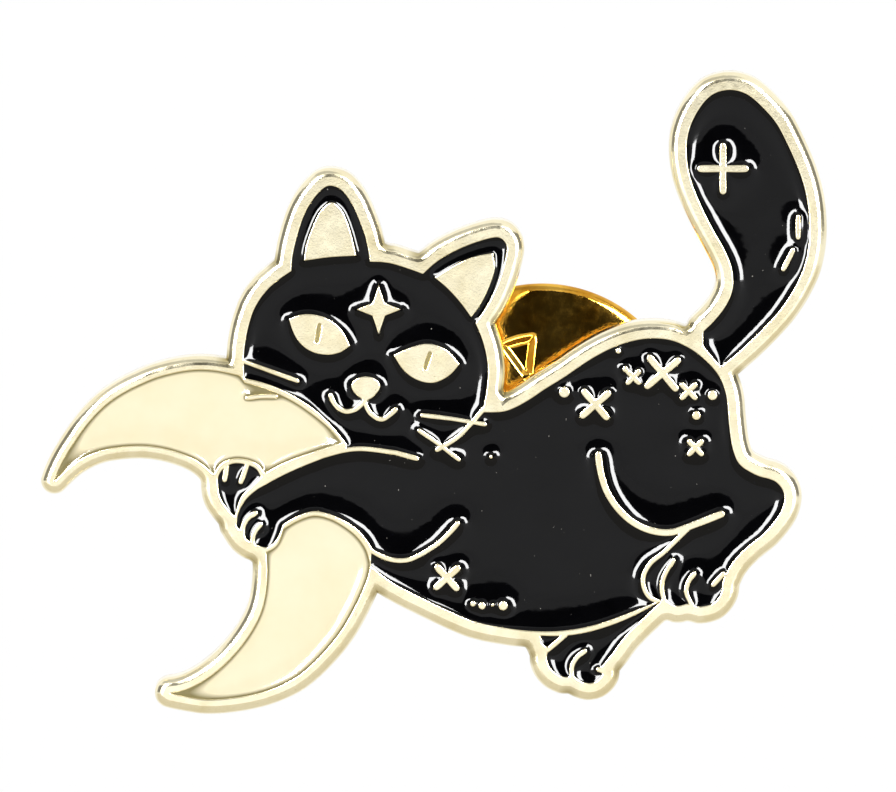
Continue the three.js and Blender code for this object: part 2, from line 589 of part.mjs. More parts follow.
// The bridge over the jaws: two cheeks that stand on the disc and a top with a hole for the post.
function clutchBridge() {
  const inner = BRIDGE_INNER_HALF_WIDTH;
  const outer = inner + BRIDGE_SHEET;
  const foot = DISC_THICKNESS + FILL_GAP;
  const under = BRIDGE_TOP - BRIDGE_SHEET;
  const section = [
    [-outer, foot], [-inner, foot], [-inner, under], [inner, under], [inner, foot], [outer, foot],
    [outer, BRIDGE_TOP - 0.25], [outer - 0.25, BRIDGE_TOP],
    [0.25 - outer, BRIDGE_TOP], [-outer, BRIDGE_TOP - 0.25],
  ].map(([y, z]) => new THREE.Vector2(y, z));
  const arch = prism(section, -BRIDGE_HALF_LENGTH, BRIDGE_HALF_LENGTH).rotate([90, 0, 90]);
  const radius = CLUTCH_HOLE_RADIUS;
  const holeProfile = [[0, under - 1], [radius, under - 1], [radius, under + 1], [0, under + 1]];
  const hole = solidOf(turned(holeProfile, POST_STEPS));
  return piece("clutch_bridge", geometryOf(arch.subtract(hole)), YELLOW_GOLD);
}

// One spring wing, on the +x side: a jaw beside the post, a neck under the bridge, and a round-ended wing.
const WING_PIVOT = [1.5, 2.0];
function springWing(name, side) {
  const jaw = POST_RADIUS + JAW_CLEARANCE + WING_SHEET / 2;
  const bends = [
    [jaw, 1.05], [jaw, 1.5], [jaw + 0.25, 1.9], WING_PIVOT, [2.3, 1.9], [3.1, 2.1], [4.3, 2.9],
    [WING_REACH - 0.5, 3.7], [WING_REACH - WING_SHEET / 2, 4.25],
  ];
  const neck = WING_NECK_HALF_WIDTH;
  const wide = WING_HALF_WIDTH;
  const plan = loopOf(
    [[0.3, -neck], [2.3, -neck]],
    [
      [2.3, -neck], [2.75, -wide + 0.2], [3.3, -wide], [4.4, -wide + 0.35], [5.3, -wide + 1.3],
      [WING_REACH, 0],
      [5.3, wide - 1.3], [4.4, wide - 0.35], [3.3, wide], [2.75, wide - 0.2], [2.3, neck],
    ],
    [[2.3, neck], [0.3, neck]],
    [[0.3, neck], [0.3, -neck]],
  );
  const wing = bentSheet(bends, wide + 1).intersect(prism(plan, 0, 6));
  const mesh = piece(name, geometryOf(wing), YELLOW_GOLD);
  mesh.rotation.z = side > 0 ? 0 : Math.PI;
  return mesh;
}

// ---------------------------------------------------------------- the whole pin

const clutch = new THREE.Group();
clutch.add(clutchDisc(), clutchBridge());
clutch.add(springWing("spring_wing_right", 1), springWing("spring_wing_left", -1));
clutch.position.set(POST_X, POST_Y, -CLUTCH_GAP);
clutch.rotation.set(Math.PI, 0, -CLUTCH_TURN);

const fastening = new THREE.Group();
fastening.add(nailPost(), solderJoint());
fastening.position.set(POST_X, POST_Y, 0);

const pin = new THREE.Group();
pin.add(badgePlate(), ...pockets.flatMap(enamelFills), fastening, clutch);
pin.rotation.x = Math.PI / 2;

export default pin;
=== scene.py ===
"""A soft-enamel cat-and-moon lapel pin with its butterfly clutch.

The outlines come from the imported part's own front faces. Each is run through again as a smooth curve, and
the metal gets rounded edges, the enamel the hollow surface that wet enamel dries to between metal lines.

Everything is worked out in millimetres and turned into metres when a mesh is made. In the row frame +X is
right, +Z is up, and the pin's face looks to -Y.
"""
import math
import bpy
import numpy as np
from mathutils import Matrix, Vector, geometry, kdtree


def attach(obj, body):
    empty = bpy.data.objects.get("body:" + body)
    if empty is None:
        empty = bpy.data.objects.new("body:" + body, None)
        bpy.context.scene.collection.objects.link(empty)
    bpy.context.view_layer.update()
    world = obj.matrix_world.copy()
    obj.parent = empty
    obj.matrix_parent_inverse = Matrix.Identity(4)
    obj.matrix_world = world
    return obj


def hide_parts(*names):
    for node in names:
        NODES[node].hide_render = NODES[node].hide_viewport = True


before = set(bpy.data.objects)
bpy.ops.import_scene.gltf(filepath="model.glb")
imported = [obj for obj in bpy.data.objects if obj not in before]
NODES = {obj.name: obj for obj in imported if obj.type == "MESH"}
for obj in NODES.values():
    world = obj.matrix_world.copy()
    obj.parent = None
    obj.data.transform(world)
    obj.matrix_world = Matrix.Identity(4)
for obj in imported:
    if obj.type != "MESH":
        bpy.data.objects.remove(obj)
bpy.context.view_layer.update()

MM = 0.001

# The badge, in mm. y is measured towards the back, as in the row frame.
FRONT_Y = -1.5
FLOOR_Y = -1.0
PUPIL_Y = -1.38
ENAMEL_Y = -1.25
SEAT_Y = -0.15
SEAT_RADIUS = 1.8
OUTER_ROUND = 0.34
LINE_ROUND = 0.045
BACK_ROUND = 0.1
FILL_GAP = 0.02
CURVE_STEP = 0.08

# How far a curve may bend between two points of its outline, in degrees times mm.
BEND_LIMIT = 3.4

# How the enamel climbs the metal that it touches: a wide slope, and a steeper one close to the metal.
WIDE_CLIMB = 0.12
NEAR_CLIMB = 0.085
CLIMB_REACH = 0.5

# The post and the clutch, in mm.
POST_X = 4.3
POST_Z = -1.8
POST_TIP_Y = 8.0
CLUTCH_Y = 2.1
CLUTCH_TURN = math.radians(45)


# ---------------------------------------------------------------- outlines


def front_outlines(node, level):
    """Closed outlines, as arrays of (x, z), round the faces of a CAD node that look to the front at this y.
    What the node is made of lies to the left of each outline."""
    mesh = NODES[node].data
    points = {}
    edges = set()
    for face in mesh.polygons:
        corners = [mesh.vertices[v].co / MM for v in face.vertices]
        if face.normal.y > -0.99 or any(abs(c.y - level) > 0.004 for c in corners):
            continue
        keys = [(round(c.x, 3), round(c.z, 3)) for c in corners]
        for key, corner in zip(keys, corners):
            points[key] = (corner.x, corner.z)
        for k in range(len(keys)):
            edges.add((keys[k - 1], keys[k]))
    following = {}
    for start, end in edges:
        if (end, start) not in edges and start != end:
            following.setdefault(start, []).append(end)
    outlines = []
    while following:
        start = next(iter(following))
        here = start
        outline = []
        while here in following:
            outline.append(points[here])
            ends = following[here]
            there = ends.pop()
            if not ends:
                del following[here]
            here = there
        if len(outline) > 2:
            outlines.append(np.array(outline))
    return outlines


def area_of(outline):
    x, z = outline[:, 0], outline[:, 1]
    return 0.5 * float(np.sum(x * np.roll(z, -1) - np.roll(x, -1) * z))


def smoothed(outline, step=CURVE_STEP):
    """The outline run through again as a smooth curve of closer points. Sharp corners stay sharp."""
    keep = np.linalg.norm(outline - np.roll(outline, 1, axis=0), axis=1) > 0.012
    knots = outline[keep]
    ahead = np.roll(knots, -1, axis=0) - knots
    length = np.linalg.norm(ahead, axis=1)
    length_behind = np.roll(length, 1)
    heading = np.arctan2(ahead[:, 1], ahead[:, 0])
    heading_behind = np.roll(heading, 1)
    turn = (heading - heading_behind + math.pi) % math.tau - math.pi
    most, most_behind = (math.radians(BEND_LIMIT) / side for side in (length, length_behind))
    share = np.abs(turn) * length_behind / (length + length_behind)
    share = np.clip(share, np.abs(turn) - most, most_behind)
    sharp = np.abs(turn) > most + most_behind
    tangent = heading_behind + np.sign(turn) * share
    leaving = np.where(sharp, heading, tangent)
    arriving = np.where(sharp, heading_behind, tangent)
    leaving = np.stack([np.cos(leaving), np.sin(leaving)], axis=1)
    arriving = np.stack([np.cos(arriving), np.sin(arriving)], axis=1)
    curve = []
    count = len(knots)
    for k in range(count):
        after = (k + 1) % count
        parts = max(1, math.ceil(length[k] / step))
        t = (np.arange(parts) / parts)[:, None]
        start, end = knots[k], knots[after]
        pull_out = leaving[k] * length[k]
        pull_in = arriving[after] * length[k]
        curve.append(
            start * (2 * t**3 - 3 * t**2 + 1)
            + pull_out * (t**3 - 2 * t**2 + t)
            + end * (3 * t**2 - 2 * t**3)
            + pull_in * (t**3 - t**2)
        )
    return np.concatenate(curve)


def inset(outline, distance):
    """The outline moved to its left, into the metal, by this distance."""
    ahead = np.roll(outline, -1, axis=0) - outline
    ahead = ahead / np.maximum(np.linalg.norm(ahead, axis=1), 1e-9)[:, None]
    left = np.stack([-ahead[:, 1], ahead[:, 0]], axis=1)
    both = left + np.roll(left, 1, axis=0)
    squared = np.maximum(np.sum(both * both, axis=1), 0.9)[:, None]
    return outline + both * (2 * distance / squared)


def circle(x, z, radius, steps, turn=1):
    angles = turn * np.arange(steps) * math.tau / steps
    return np.stack([x + radius * np.cos(angles), z + radius * np.sin(angles)], axis=1)


# ---------------------------------------------------------------- meshes


class Shell:
    """A mesh under construction, in mm. Points that fall together become one."""

    def __init__(self):
        self.points = []
        self.index = {}
        self.faces = []
        self.marks = {}

    def point(self, x, y, z, mark=0.0):
        """The number of the point at this place. mark, from 0 to 1, is kept for the material to read."""
        key = (round(float(x), 4), round(float(y), 4), round(float(z), 4))
        if key not in self.index:
            self.index[key] = len(self.points)
            self.points.append((float(x), float(y), float(z)))
        if mark:
            self.marks[self.index[key]] = float(mark)
        return self.index[key]

    def face(self, corners):
        ring = [c for k, c in enumerate(corners) if c != corners[k - 1]]
        if len(set(ring)) > 2:
            self.faces.append(ring)

    def grid(self, rows, closed=False, flip=False, mark=0.0):
        """Faces between rows of points. closed joins each row's end to its start."""
        ids = [[self.point(*p, mark) for p in row] for row in rows]
        for low, high in zip(ids, ids[1:]):
            for k in range(len(low) if closed else len(low) - 1):
                after = (k + 1) % len(low)
                ring = [low[k], low[after], high[after], high[k]]
                self.face(ring[::-1] if flip else ring)

    def cap(self, outlines, y, towards_front, wanted, inner=(), mark=0.0):
        """A flat face between outlines. wanted says, for how many outlines lie round a place, whether the
        face covers it."""
        points, triangles = triangulated(outlines, wanted, inner)
        ids = [self.point(p[0], y, p[1], mark) for p in points]
        for a, b, c in triangles:
            self.face([ids[a], ids[b], ids[c]] if towards_front else [ids[c], ids[b], ids[a]])

    def build(self, name, material, body, slot, smooth_deg=38, bend=None):
        points = np.array(self.points)
        if bend:
            points = bend(points)
        mesh = bpy.data.meshes.new(name)
        mesh.from_pydata((points * MM).tolist(), [], self.faces)
        mesh.materials.append(material)
        marks = mesh.attributes.new("mark", "FLOAT", "POINT")
        marks.data.foreach_set("value", [self.marks.get(k, 0.0) for k in range(len(points))])
        mesh.polygons.foreach_set("use_smooth", [True] * len(mesh.polygons))
        mesh.set_sharp_from_angle(angle=math.radians(smooth_deg))
        piece = bpy.data.objects.new(name, mesh)
        bpy.context.scene.collection.objects.link(piece)
        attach(piece, body)
        return piece


def times_inside(places, outlines):
    """How many of the outlines lie round each place."""
    count = np.zeros(len(places), dtype=int)
    for outline in outlines:
        low, high = outline.min(axis=0), outline.max(axis=0)
        near = np.nonzero(np.all((places >= low) & (places <= high), axis=1))[0]
        if not len(near):
            continue
        start, end = outline, np.roll(outline, -1, axis=0)
        for chunk in np.array_split(near, max(1, len(near) * len(outline) // 4_000_000)):
            x, z = places[chunk, 0][:, None], places[chunk, 1][:, None]
            spans = (start[:, 1] > z) != (end[:, 1] > z)
            rise = np.where(end[:, 1] == start[:, 1], 1e-12, end[:, 1] - start[:, 1])
            crossing = start[:, 0] + (z - start[:, 1]) / rise * (end[:, 0] - start[:, 0])
            count[chunk] += np.sum(spans & (x < crossing), axis=1) % 2
    return count


def triangulated(outlines, wanted, inner=()):
    """Points and triangles that fill the places that wanted agrees to."""
    points = [tuple(p) for outline in outlines for p in outline]
    edges = []
    first = 0
    for outline in outlines:
        size = len(outline)
        edges += [(first + k, first + (k + 1) % size) for k in range(size)]
        first += size
    points += [tuple(p) for p in inner]
    flat = [Vector(p) for p in points]
    made, _, faces, sources, _, _ = geometry.delaunay_2d_cdt(flat, edges, [], 0, 1e-6)
    places = np.array([points[s[0]] if s else tuple(v) for v, s in zip(made, sources)])
    triangles = np.array(faces)
    middles = places[triangles].mean(axis=1)
    agreed = np.array([wanted(n) for n in range(len(outlines) + 2)])
    chosen = triangles[agreed[times_inside(middles, outlines)]]
    a, b, c = (places[chosen[:, k]] for k in range(3))
    turn = (b[:, 0] - a[:, 0]) * (c[:, 1] - a[:, 1]) - (b[:, 1] - a[:, 1]) * (c[:, 0] - a[:, 0])
    chosen[turn < 0] = chosen[turn < 0][:, ::-1]
    return places, chosen[np.abs(turn) > 1e-9]


def rounded_rows(outline, front, back, front_round, back_round=0.0, steps=4):
    """Rows of points down a wall, from the face at front to the one at back, with rounded edges."""
    rows = []
    for k in range(steps + 1 if front_round else 1):
        turn = math.pi / 2 * k / steps
        moved = inset(outline, front_round * (1 - math.sin(turn)))
        rows.append((moved, front + front_round * (1 - math.cos(turn))))
    for k in range(steps + 1 if back_round else 1):
        turn = math.pi / 2 * k / steps
        moved = inset(outline, back_round * (1 - math.cos(turn)))
        rows.append((moved, back - back_round * (1 - math.sin(turn))))
    return [[(p[0], y, p[1]) for p in moved] for moved, y in rows]


# ---------------------------------------------------------------- materials


class Recipe:
    """A node material put together step by step, on the object's own coordinates in metres."""

    def __init__(self, name):
        self.material = bpy.data.materials.new(name)
        self.material.use_nodes = True
        self.tree = self.material.node_tree
        self.shader = self.tree.nodes["Principled BSDF"]
        self.place = self.node("ShaderNodeTexCoord").outputs["Object"]

    def node(self, kind, **settings):
        made = self.tree.nodes.new(kind)
        for key, value in settings.items():
            if isinstance(value, bpy.types.NodeSocket):
                self.tree.links.new(value, made.inputs[key.replace("_", " ")])
            elif key[0].isupper():
                made.inputs[key.replace("_", " ")].default_value = value
            else:
                setattr(made, key, value)
        return made

    def mark(self):
        return self.node("ShaderNodeAttribute", attribute_name="mark").outputs["Fac"]

    def noise(self, size_mm, detail=4.0, roughness=0.6):
        made = self.node("ShaderNodeTexNoise", Vector=self.place, Scale=1 / (size_mm * MM))
        made.inputs["Detail"].default_value = detail
        made.inputs["Roughness"].default_value = roughness
        return made.outputs["Fac"]

    def between(self, value, low, high, to_low=0.0, to_high=1.0):
        made = self.node("ShaderNodeMapRange", Value=value)
        made.inputs["From Min"].default_value = low
        made.inputs["From Max"].default_value = high
        made.inputs["To Min"].default_value = to_low
        made.inputs["To Max"].default_value = to_high
        return made.outputs["Result"]

    def mixed(self, share, first, second):
        made = self.node("ShaderNodeMix", data_type="RGBA")
        self.tree.links.new(share, made.inputs[0])
        for slot, colour in ((6, first), (7, second)):
            if isinstance(colour, bpy.types.NodeSocket):
                self.tree.links.new(colour, made.inputs[slot])
            else:
                made.inputs[slot].default_value = (*colour, 1)
        return made.outputs[2]

    def blended(self, share, first, second):
        made = self.node("ShaderNodeMix", data_type="FLOAT")
        for slot, value in ((0, share), (2, first), (3, second)):
            if isinstance(value, bpy.types.NodeSocket):
                self.tree.links.new(value, made.inputs[slot])
            else:
                made.inputs[slot].default_value = value
        return made.outputs[0]

    def bumps(self, height, distance_mm):
        made = self.node("ShaderNodeBump", Height=height, Strength=1.0, Distance=distance_mm * MM)
        self.tree.links.new(made.outputs["Normal"], self.shader.inputs["Normal"])

    def set(self, **inputs):
        for key, value in inputs.items():
            socket = self.shader.inputs[key.replace("_", " ")]
            if isinstance(value, bpy.types.NodeSocket):
                self.tree.links.new(value, socket)
            else:
                socket.default_value = value
        return self.material


def light_gold():
    """Pale gold plate: polished, with cloudy tarnish, fine grain, dark specks, olive pupil floors and
    painted shade in the rim's notches. Its back is left matt.
    """
    recipe = Recipe("pale gold plating")
    clouds = recipe.between(recipe.noise(1.6, 5), 0.42, 0.68)
    colour = recipe.mixed(clouds, (0.91, 0.84, 0.61), (0.82, 0.73, 0.47))
    specks = recipe.between(recipe.noise(0.13, 2), 0.7, 0.76)
    colour = recipe.mixed(specks, colour, (0.62, 0.54, 0.32))
    # The mark turns the plate olive: painted shade in the rim's notches, and the colour of the pupil pits'
    # floors.
    colour = recipe.mixed(recipe.mark(), colour, (0.42, 0.35, 0.16))
    depth = recipe.node("ShaderNodeSeparateXYZ", Vector=recipe.place).outputs["Y"]
    on_back = recipe.between(depth, -0.12 * MM, -0.02 * MM)
    polished = recipe.between(recipe.noise(0.5, 6), 0.3, 0.7, 0.1, 0.19)
    matt = recipe.between(recipe.noise(0.4, 6), 0.3, 0.7, 0.5, 0.65)
    roughness = recipe.blended(on_back, polished, matt)
    recipe.bumps(recipe.noise(0.09, 3), 0.0025)
    return recipe.set(Base_Color=colour, Metallic=1.0, Roughness=roughness)


def black_enamel():
    """Glossy black enamel: a hair of waviness, and pale dust caught in it."""
    recipe = Recipe("black soft enamel")
    dust = recipe.between(recipe.noise(0.11, 1, 0.4), 0.81, 0.83)
    haze = recipe.between(recipe.noise(1.3, 4), 0.35, 0.7)
    colour = recipe.mixed(haze, (0.0008, 0.0008, 0.0012), (0.0016, 0.0016, 0.0022))
    colour = recipe.mixed(dust, colour, (0.4, 0.38, 0.34))
    roughness = recipe.between(recipe.noise(0.7, 5), 0.3, 0.7, 0.03, 0.07)
    recipe.bumps(recipe.noise(0.9, 2), 0.004)
    return recipe.set(Base_Color=colour, Roughness=roughness, Specular_IOR_Level=0.2)


def cream_enamel():
    """Glossy cream enamel, a little darker where it pooled, with an olive line of painted shade and painted
    reflection of the metal wall where it meets the metal.
    """
    recipe = Recipe("cream soft enamel")
    pooled = recipe.between(recipe.noise(2.6, 3), 0.35, 0.7)
    colour = recipe.mixed(pooled, (0.98, 0.9, 0.64), (0.96, 0.85, 0.57))
    # Painted shade and reflection: where the enamel climbs highest, next to the metal, it turns olive.
    colour = recipe.mixed(recipe.between(recipe.mark(), 0.78, 0.94), colour, (0.27, 0.23, 0.1))
    roughness = recipe.between(recipe.noise(0.7, 5), 0.3, 0.7, 0.07, 0.13)
    recipe.bumps(recipe.noise(0.9, 2), 0.004)
    return recipe.set(Base_Color=colour, Roughness=roughness, Specular_IOR_Level=0.4)


def yellow_gold():
    """Bright yellow brass: polished, with fine grain and darker clouds."""
    recipe = Recipe("polished yellow brass")
    clouds = recipe.between(recipe.noise(1.1, 5), 0.4, 0.7)
    colour = recipe.mixed(clouds, (0.8, 0.46, 0.07), (0.5, 0.22, 0.015))
    roughness = recipe.between(recipe.noise(0.4, 6), 0.3, 0.7, 0.04, 0.1)
    recipe.bumps(recipe.noise(0.12, 3), 0.003)
    return recipe.set(Base_Color=colour, Metallic=1.0, Roughness=roughness)


def drawn_steel():
    """Drawn wire: grey, with turning marks round it."""
    recipe = Recipe("drawn steel wire")
    rings = recipe.node("ShaderNodeTexWave", Vector=recipe.place, Scale=2600.0, Distortion=1.5)
    rings.bands_direction = "Y"
    rings.inputs["Detail"].default_value = 3
    clouds = recipe.between(recipe.noise(0.6, 5), 0.35, 0.7)
    colour = recipe.mixed(clouds, (0.62, 0.6, 0.57), (0.42, 0.4, 0.37))
    roughness = recipe.between(rings.outputs["Fac"], 0, 1, 0.22, 0.34)
    recipe.bumps(rings.outputs["Fac"], 0.002)
    return recipe.set(Base_Color=colour, Metallic=1.0, Roughness=roughness)


def dull_solder():
    """Solder: dull silver, grainy, with dark flux in random patches."""
    recipe = Recipe("dull solder")
    clouds = recipe.between(recipe.noise(0.35, 6), 0.4, 0.66)
    colour = recipe.mixed(clouds, (0.62, 0.61, 0.58), (0.34, 0.32, 0.28))
    roughness = recipe.between(recipe.noise(0.2, 5), 0.3, 0.7, 0.34, 0.6)
    recipe.bumps(recipe.noise(0.16, 4), 0.02)
    return recipe.set(Base_Color=colour, Metallic=1.0, Roughness=roughness)


GOLD = light_gold()
BLACK = black_enamel()
CREAM = cream_enamel()
BRASS = yellow_gold()
STEEL = drawn_steel()
SOLDER = dull_solder()


# ---------------------------------------------------------------- the badge


def build_plate():
    """The struck plate: a rounded rim, raised lines and islands, pockets, and a flat back with a seat."""
    outlines = [smoothed(o) for o in front_outlines("badge_plate", FRONT_Y)]
    outlines.sort(key=lambda o: -abs(area_of(o)))
    outer, others = outlines[0], outlines[1:]
    pits = [smoothed(o) for o in front_outlines("badge_plate", PUPIL_Y)]
    pit_middles = [p.mean(axis=0) for p in pits]

    def is_pit(outline):
        middle = outline.mean(axis=0)
        return any(np.linalg.norm(middle - m) < 0.15 for m in pit_middles) and area_of(outline) < 0

    shell = Shell()
    tops = [inset(outer, OUTER_ROUND)] + [inset(o, LINE_ROUND) for o in others]
    shell.cap(tops, FRONT_Y, True, lambda n: n % 2 == 1)
    shell.cap([o for o in others if not is_pit(o)], FLOOR_Y, True, lambda n: n % 2 == 1)
    shell.grid(rounded_rows(outer, FRONT_Y, 0, OUTER_ROUND, BACK_ROUND, 8), closed=True)
    for outline in others:
        floor = PUPIL_Y if is_pit(outline) else FLOOR_Y
        shell.grid(rounded_rows(outline, FRONT_Y, floor, LINE_ROUND), closed=True)
        if is_pit(outline):
            shell.cap([outline], floor, True, lambda n: n == 1, mark=1)
    seat = circle(POST_X, POST_Z, SEAT_RADIUS, 96)
    shell.cap([inset(outer, BACK_ROUND), seat], 0, False, lambda n: n == 1)
    shell.grid([[(x, y, z) for x, z in seat] for y in (0, SEAT_Y)], closed=True)
    shell.cap([seat], SEAT_Y, False, lambda n: n == 1)
    # Painted shade: the rim is marked darker in the notches of its outer edge.
    paint_nook_shade(shell, outer)
    plate = shell.build("struck_plate", GOLD, "badge", "light_gold")
    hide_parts("badge_plate")
    return plate


def paint_nook_shade(shell, outer, reach=0.45):
    """Marks the rim where its outer edge folds inwards, so that the material paints shade there: darker
    olive in these notches.
    """
    ahead = np.roll(outer, -1, axis=0) - outer
    heading = np.arctan2(ahead[:, 1], ahead[:, 0])
    turn = (heading - np.roll(heading, 1) + math.pi) % math.tau - math.pi
    nooks = outer[turn < math.radians(-22)]
    for k, (x, y, z) in enumerate(shell.points):
        if y < -0.5 and len(nooks):
            near = float(np.min(np.hypot(nooks[:, 0] - x, nooks[:, 1] - z)))
            if near < reach:
                shell.marks[k] = 1 - near / reach


def meniscus(points, triangles, on_wall):
    """How far the enamel climbs at each point, from 1 at the metal down to 0 in the open. It is the shape
    a wet surface takes: its bend is in proportion to its climb."""
    a, b, c = (points[triangles[:, k]] for k in range(3))
    doubled = (b[:, 0] - a[:, 0]) * (c[:, 1] - a[:, 1]) - (b[:, 1] - a[:, 1]) * (c[:, 0] - a[:, 0])
    doubled = np.maximum(doubled, 1e-6)
    sides = (c - b, a - c, b - a)
    size = len(points)
    starts, ends, weights = [], [], []
    for k in range(3):
        i, j = (k + 1) % 3, (k + 2) % 3
        starts.append(triangles[:, i])
        ends.append(triangles[:, j])
        weights.append(np.sum(sides[i] * sides[j], axis=1) / (2 * doubled))
    start, end = np.concatenate(starts), np.concatenate(ends)
    weight = np.concatenate(weights)
    lumped = sum(np.bincount(triangles[:, k], doubled / 6, size) for k in range(3)) / CLIMB_REACH**2
    diagonal = lumped - np.bincount(start, weight, size) - np.bincount(end, weight, size)

    def applied(values):
        total = diagonal * values
        total += np.bincount(start, weight * values[end], size)
        total += np.bincount(end, weight * values[start], size)
        return total

    free = ~on_wall
    climb = on_wall.astype(float)
    residual = np.where(free, -applied(climb), 0.0)
    step = residual / diagonal
    aim = step.copy()
    strength = float(residual @ step)
    for _ in range(400):
        if strength < 1e-14:
            break
        moved = np.where(free, applied(aim), 0.0)
        share = strength / float(aim @ moved)
        climb += share * aim
        residual -= share * moved
        step = residual / diagonal
        previous, strength = strength, float(residual @ step)
        aim = step + strength / previous * aim
    return climb


def wall_tree(outlines):
    tree = kdtree.KDTree(sum(len(o) for o in outlines))
    k = 0
    for outline in outlines:
        for x, z in outline:
            tree.insert((x, z, 0), k)
            k += 1
    tree.balance()
    return tree


def filling_points(outlines):
    """Places to sample the enamel's surface: rows close along the metal, and an even spread further off."""
    dense = [smoothed(o, 0.03) for o in outlines]
    tree = wall_tree(dense)
    rows = [p for d in (0.035, 0.08, 0.135) for o in outlines for p in inset(o, d)]
    low = np.min([o.min(axis=0) for o in outlines], axis=0)
    high = np.max([o.max(axis=0) for o in outlines], axis=0)
    spread = []
    for spacing, nearest, furthest in ((0.1, 0.19, 0.8), (0.22, 0.8, 99)):
        z_values = np.arange(low[1], high[1], spacing * 0.866)
        for row, z in enumerate(z_values):
            for x in np.arange(low[0] + spacing / 2 * (row % 2), high[0], spacing):
                spread.append((x, z, nearest, furthest))
    row_limits = [(p[0], p[1], 0.028, 0.17) for p in rows]
    candidates = np.array(row_limits + spread)
    candidates = candidates[times_inside(candidates[:, :2], outlines) % 2 == 1]
    kept = []
    for x, z, nearest, furthest in candidates:
        distance = tree.find((x, z, 0))[2]
        if nearest <= distance <= furthest:
            kept.append((x, z))
    return np.array(kept)


def build_enamel(node, material, slot):
    """One pocket's enamel, from wall to wall, hollow between the lines."""
    raw = [inset(o, -FILL_GAP) for o in front_outlines(node, ENAMEL_Y)]
    outlines = [smoothed(o) for o in raw]
    inner = filling_points(outlines)
    points, triangles = triangulated(outlines, lambda n: n % 2 == 1, inner)
    walls = wall_tree(outlines)
    on_wall = np.array([walls.find((x, z, 0))[2] < 1e-4 for x, z in points])
    climb = meniscus(points, triangles, on_wall)
    shell = Shell()
    height = ENAMEL_Y - WIDE_CLIMB * climb - NEAR_CLIMB * climb**4
    # Each point keeps its climb as its mark, which the cream enamel reads to paint shade and the wall's
    # reflection along the metal.
    ids = [shell.point(p[0], y, p[1], c) for p, y, c in zip(points, height, climb)]
    for a, b, c in triangles:
        shell.face([ids[a], ids[b], ids[c]])
    edge_y = ENAMEL_Y - WIDE_CLIMB - NEAR_CLIMB
    for outline in outlines:
        shell.grid([[(x, y, z) for x, z in outline] for y in (edge_y, FLOOR_Y + 0.01)], closed=True)
    shell.cap(outlines, FLOOR_Y + 0.01, False, lambda n: n % 2 == 1)
    piece = shell.build(node.replace("enamel", "fill"), material, "badge", slot, 60)
    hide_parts(node)
    return piece


build_plate()
for node in ("cat", "tail", "far_paw", "far_foot", "far_toe"):
    build_enamel("enamel_" + node, BLACK, "black_enamel")
for node in ("moon_upper", "moon_lower"):
    build_enamel("enamel_" + node, CREAM, "cream_enamel")


# ---------------------------------------------------------------- the post


def turned(profile, steps, wobble=None):
    """A profile of (radius, y) pairs turned about the post's axis."""
    rows = []
    for radius, y in profile:
        row = []
        for k in range(steps):
            angle = -math.tau * k / steps
            reach = radius + (wobble(angle, y) if wobble else 0)
            row.append((POST_X + reach * math.cos(angle), y, POST_Z + reach * math.sin(angle)))
        rows.append(row)
    return rows


def build_post():
    shell = Shell()
    profile = [
        (0, -0.13), (1.42, -0.13), (1.47, -0.12), (1.5, -0.08), (1.5, 0.2), (1.48, 0.25), (1.43, 0.27),
        (0.66, 0.27), (0.6, 0.3), (0.56, 0.36), (0.55, 0.45), (0.55, 6.26), (0.52, 6.3), (0.46, 6.34),
        (0.43, 6.4), (0.43, 6.6), (0.46, 6.66), (0.52, 6.7), (0.55, 6.74), (0.55, 6.98), (0.53, 7.08),
        (0.47, 7.25), (0.36, 7.5), (0.22, 7.78), (0.13, 7.92), (0.07, 7.98), (0, POST_TIP_Y),
    ]
    shell.grid(turned(profile, 64), closed=True)
    post = shell.build("nail_post", STEEL, "badge", "post_steel", 50)
    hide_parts("post")


def build_solder():
    def wobble(angle, y):
        return 0.012 * math.sin(5 * angle + 1) + 0.01 * math.sin(11 * angle + 4 * y)

    shell = Shell()
    profile = [
        (1.53, -0.13), (1.74, -0.13), (1.765, -0.08), (1.755, -0.02), (1.72, 0.03), (1.66, 0.08),
        (1.6, 0.13), (1.55, 0.18), (1.53, 0.19), (1.525, 0.1), (1.525, -0.1), (1.53, -0.13),
    ]
    rows = turned(profile, 120, wobble)
    shell.grid(rows, closed=True)
    solder = shell.build("solder_fillet", SOLDER, "badge", "solder", 60)
    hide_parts("solder_joint")


build_post()
build_solder()


# ---------------------------------------------------------------- the clutch


def from_clutch(points):
    """Points (u, y, v) on the clutch's own lines, with y from its front, put in the row frame."""
    u, y, v = points[:, 0], points[:, 1], points[:, 2]
    cos, sin = math.cos(CLUTCH_TURN), math.sin(CLUTCH_TURN)
    return np.stack([POST_X + u * cos + v * sin, CLUTCH_Y + y, POST_Z + u * sin - v * cos], axis=1)


DISC_RADIUS = 5.75
DISC_SHEET = 0.35
HOLE_RADIUS = 0.8
DIMPLES = 6
DIMPLE_DEPTH = 0.13
DIMPLE_START = 2.2
DIMPLE_END = 3.78
DIMPLE_TIP = 0.199375
DIMPLE_WIDENS = 0.3875
DIMPLE_EDGE = 0.36
DOME = 0.28
RIM_RISE = 0.6


def dimple_depth(u, v):
    """How deep the disc's front is struck at a place, from 0 to 1: six rounded triangles round the hole."""
    angle = math.atan2(v, u)
    sector = math.tau / DIMPLES
    around = (angle - sector / 2 + math.pi) % sector - sector / 2
    radius = math.hypot(u, v)
    along, across = radius * math.cos(around), abs(radius * math.sin(around))
    half_width = DIMPLE_TIP + DIMPLE_WIDENS * (along - DIMPLE_START)
    edge = min(half_width - across, along - DIMPLE_START, DIMPLE_END - radius)
    share = min(1.0, max(0.0, edge / DIMPLE_EDGE + 0.1))
    return share * share * (3 - 2 * share)


def domed(radius, above):
    """How far back the sheet lies at this radius: a shallow dome that fades out up the rim."""
    return DOME * (radius / 5) ** 2 * max(0.0, 1 - above / RIM_RISE)


